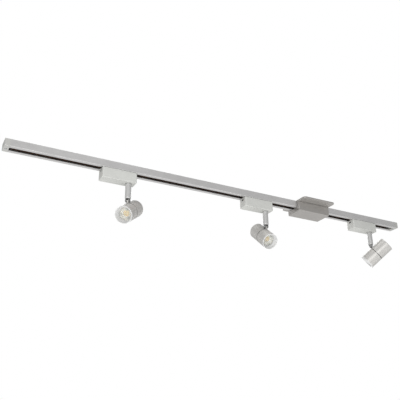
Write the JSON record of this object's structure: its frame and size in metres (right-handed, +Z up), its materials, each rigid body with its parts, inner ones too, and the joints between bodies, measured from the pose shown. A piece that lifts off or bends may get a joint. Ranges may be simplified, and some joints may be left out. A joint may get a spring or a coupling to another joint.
{
  "type": "track lighting fixture",
  "caption": "Ceiling track with a downward slot, a square feed canopy and cylinder spot heads hung on driver boxes; heads slide, swivel and tilt.",
  "frame": {"origin": "on the ceiling plane, at the middle of the track's top face", "axes": "+X along the track towards the end nearer the canopy, +Z up into the ceiling, +Y across the track"},
  "size_m": [1.245, 0.1187, 0.1608],
  "materials": {
    "satin_nickel_track": "satin",
    "satin_nickel_head": "satin",
    "canopy_finish": "satin",
    "cap_finish": "satin",
    "black_plastic": "matte",
    "copper": "satin",
    "brass_contact": "polished",
    "zinc_steel": "zinc plated",
    "dark_knuckle": "satin",
    "stem_steel": "satin",
    "circuit_board": "solder mask",
    "clear_lens": "clear",
    "reflector_metal": "satin",
    "led_phosphor": "matte"
  },
  "bodies": {
    "track": {"track_extrusion": "satin_nickel_track", "insulator_liners": "black_plastic", "conductors": "copper", "earth_strip": "copper", "end_caps": "cap_finish", "end_cap_screws": "zinc_steel", "canopy_cover": "canopy_finish", "mounting_straps": "zinc_steel", "canopy_screws": "canopy_finish", "feed_connector": "black_plastic", "feed_contacts": "brass_contact", "terminal_screws": "brass_contact"},
    "left_carriage": {"left_driver_housing": "satin_nickel_head", "left_track_adapter": "black_plastic", "left_contact_blades": "brass_contact", "left_driver_board": "circuit_board", "left_lid_screws": "zinc_steel"},
    "left_tab": {"left_release_tab": "cap_finish"},
    "left_stem": {"left_swivel_stem": "stem_steel", "left_swivel_nut": "zinc_steel", "left_knuckle_fork": "dark_knuckle", "left_pivot_screw": "zinc_steel"},
    "left_lamp": {"left_lamp_housing": "satin_nickel_head", "left_lamp_barrel": "satin_nickel_head", "left_bezel": "satin_nickel_head", "left_lens": "clear_lens", "left_reflector": "reflector_metal", "left_led_engine": "led_phosphor"},
    "middle_carriage": {"middle_driver_housing": "satin_nickel_head", "middle_track_adapter": "black_plastic", "middle_contact_blades": "brass_contact", "middle_driver_board": "circuit_board", "middle_lid_screws": "zinc_steel"},
    "middle_tab": {"middle_release_tab": "cap_finish"},
    "middle_stem": {"middle_swivel_stem": "stem_steel", "middle_swivel_nut": "zinc_steel", "middle_knuckle_fork": "dark_knuckle", "middle_pivot_screw": "zinc_steel"},
    "middle_lamp": {"middle_lamp_housing": "satin_nickel_head", "middle_lamp_barrel": "satin_nickel_head", "middle_bezel": "satin_nickel_head", "middle_lens": "clear_lens", "middle_reflector": "reflector_metal", "middle_led_engine": "led_phosphor"},
    "right_carriage": {"right_driver_housing": "satin_nickel_head", "right_track_adapter": "black_plastic", "right_contact_blades": "brass_contact", "right_driver_board": "circuit_board", "right_lid_screws": "zinc_steel"},
    "right_tab": {"right_release_tab": "cap_finish"},
    "right_stem": {"right_swivel_stem": "stem_steel", "right_swivel_nut": "zinc_steel", "right_knuckle_fork": "dark_knuckle", "right_pivot_screw": "zinc_steel"},
    "right_lamp": {"right_lamp_housing": "satin_nickel_head", "right_lamp_barrel": "satin_nickel_head", "right_bezel": "satin_nickel_head", "right_lens": "clear_lens", "right_reflector": "reflector_metal", "right_led_engine": "led_phosphor"}
  },
  "joints": [
    {"name": "left_slide_along_track", "type": "slide", "parent": "track", "child": "left_carriage", "axis": [1, 0, 0], "range_m": [-0.215, 0.136]},
    {"name": "left_release", "type": "slide", "parent": "left_carriage", "child": "left_tab", "axis": [0, 0, -1], "range_m": [0, 0.003], "stiffness_N_per_m": 600, "springref_m": -0.003},
    {"name": "left_swivel", "type": "hinge", "parent": "left_carriage", "child": "left_stem", "pos_m": [-0.3065, 0, -0.0934], "axis": [0, 0, 1], "range_deg": [-120, 210]},
    {"name": "left_tilt", "type": "hinge", "parent": "left_stem", "child": "left_lamp", "pos_m": [-0.3065, 0, -0.0934], "axis": [0.7071, -0.7071, 0], "range_deg": [-102, 38]},
    {"name": "middle_slide_along_track", "type": "slide", "parent": "track", "child": "middle_carriage", "axis": [1, 0, 0], "range_m": [-0.144, 0.08]},
    {"name": "middle_release", "type": "slide", "parent": "middle_carriage", "child": "middle_tab", "axis": [0, 0, -1], "range_m": [0, 0.003], "stiffness_N_per_m": 600, "springref_m": -0.003},
    {"name": "middle_swivel", "type": "hinge", "parent": "middle_carriage", "child": "middle_stem", "pos_m": [0.114, 0, -0.0934], "axis": [0, 0, 1], "range_deg": [-164, 166]},
    {"name": "middle_tilt", "type": "hinge", "parent": "middle_stem", "child": "middle_lamp", "pos_m": [0.114, 0, -0.0934], "axis": [0.9998, -0.0175, 0], "range_deg": [-110, 30]},
    {"name": "right_slide_along_track", "type": "slide", "parent": "track", "child": "right_carriage", "axis": [1, 0, 0], "range_m": [-0.096, 0.075]},
    {"name": "right_release", "type": "slide", "parent": "right_carriage", "child": "right_tab", "axis": [0, 0, -1], "range_m": [0, 0.003], "stiffness_N_per_m": 600, "springref_m": -0.003},
    {"name": "right_swivel", "type": "hinge", "parent": "right_carriage", "child": "right_stem", "pos_m": [0.5095, 0, -0.0934], "axis": [0, 0, 1], "range_deg": [-25, 305]},
    {"name": "right_tilt", "type": "hinge", "parent": "right_stem", "child": "right_lamp", "pos_m": [0.5095, 0, -0.0934], "axis": [-0.766, -0.6428, 0], "range_deg": [-108, 32]}
  ]
}
